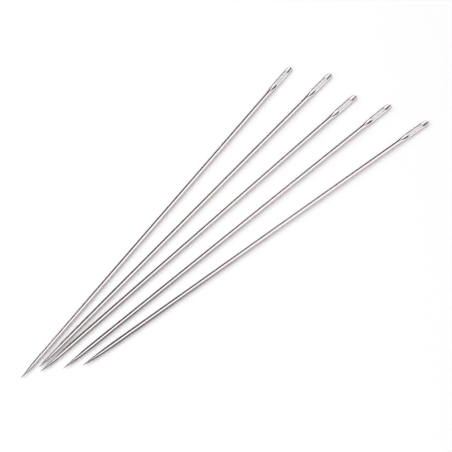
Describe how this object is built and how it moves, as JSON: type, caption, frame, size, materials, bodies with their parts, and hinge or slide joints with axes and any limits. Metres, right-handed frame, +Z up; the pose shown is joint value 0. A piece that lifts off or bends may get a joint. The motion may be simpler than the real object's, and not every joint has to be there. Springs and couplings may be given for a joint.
{
  "type": "bookbinding needle set",
  "caption": "Long straight bookbinding needles of plated steel with ground points and guttered long oval eyes, fanned out flat with their points together.",
  "frame": {"origin": "on the table, below the middle of the set's bounding box", "axes": "+X along the middle needle from its point to its head, +Z up from the table the needles lie on"},
  "size_m": [0.1406, 0.0434, 0.0012],
  "materials": {
    "needle_steel": "polished, nickel plated"
  },
  "bodies": {
    "root": {"needle_1": "needle_steel", "needle_2": "needle_steel", "needle_3": "needle_steel", "needle_4": "needle_steel", "needle_5": "needle_steel"}
  },
  "joints": []
}
